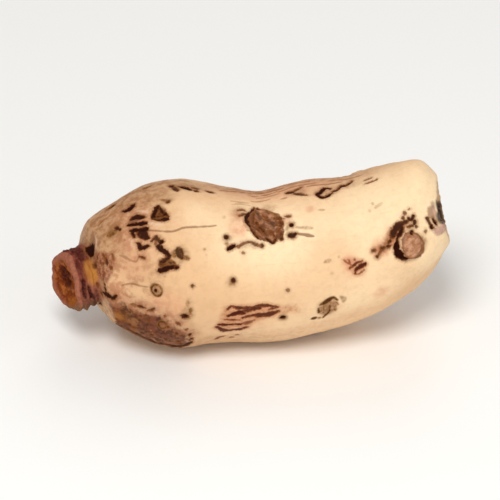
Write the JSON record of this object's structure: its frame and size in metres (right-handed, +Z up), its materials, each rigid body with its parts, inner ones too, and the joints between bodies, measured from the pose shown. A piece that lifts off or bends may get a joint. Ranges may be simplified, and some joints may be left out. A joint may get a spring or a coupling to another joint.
{
  "type": "taro",
  "caption": "Small taro corm lying on its side: thick curved tuber with a ringed shoot stub at one end, a hollow scar at the other, and bud scars.",
  "frame": {"origin": "below the middle of the taro's box, on the surface that it lies on", "axes": "+X along its length, towards the broken end; -X towards the shoot's stub; +Z up; -Y is the side with the most bud scars"},
  "size_m": [0.1432, 0.0628, 0.0647],
  "materials": {
    "taro_skin": "matte"
  },
  "bodies": {
    "root": {"taro": "taro_skin"}
  },
  "joints": []
}
